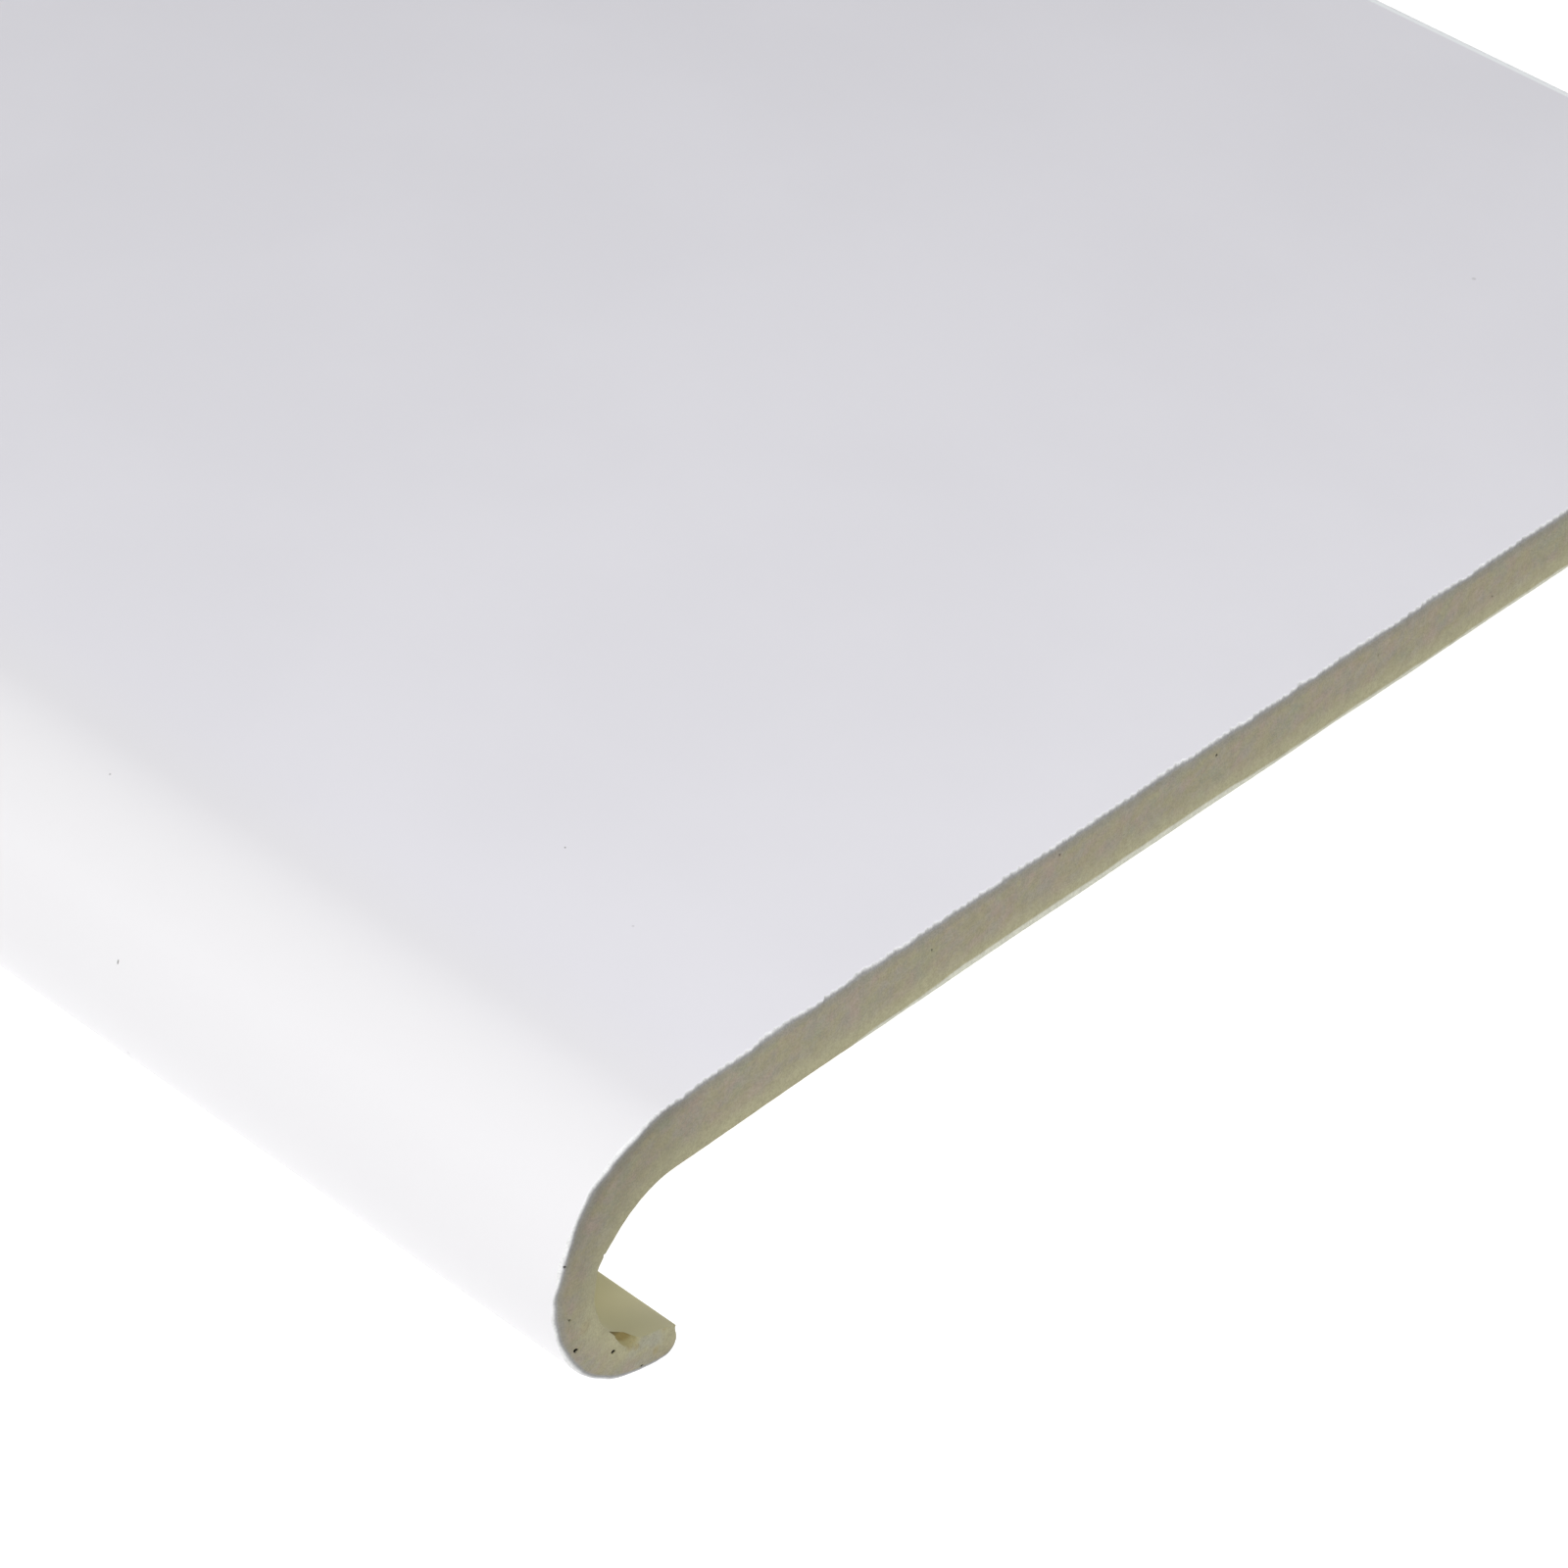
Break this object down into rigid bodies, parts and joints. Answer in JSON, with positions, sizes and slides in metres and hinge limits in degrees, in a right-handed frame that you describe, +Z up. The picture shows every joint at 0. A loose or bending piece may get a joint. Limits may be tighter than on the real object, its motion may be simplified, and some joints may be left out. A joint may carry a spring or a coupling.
{
  "type": "window board capping",
  "caption": "Cellular plastic capping board with a rolled, hooked front nose, laid over an old window board.",
  "frame": {"origin": "on the floor under the middle of the board's bounding box", "axes": "+X along the length of the board, +Y from the rolled nose towards the plain back edge, +Z up; the board lies as it does loose on a level floor, on its lip and its back edge, so its flat top slopes down 6.9 degrees towards +Y"},
  "size_m": [1.25, 0.2504, 0.0362],
  "materials": {
    "white_foam_plastic": "satin"
  },
  "bodies": {
    "root": {"window_board_capping": "white_foam_plastic"}
  },
  "joints": []
}
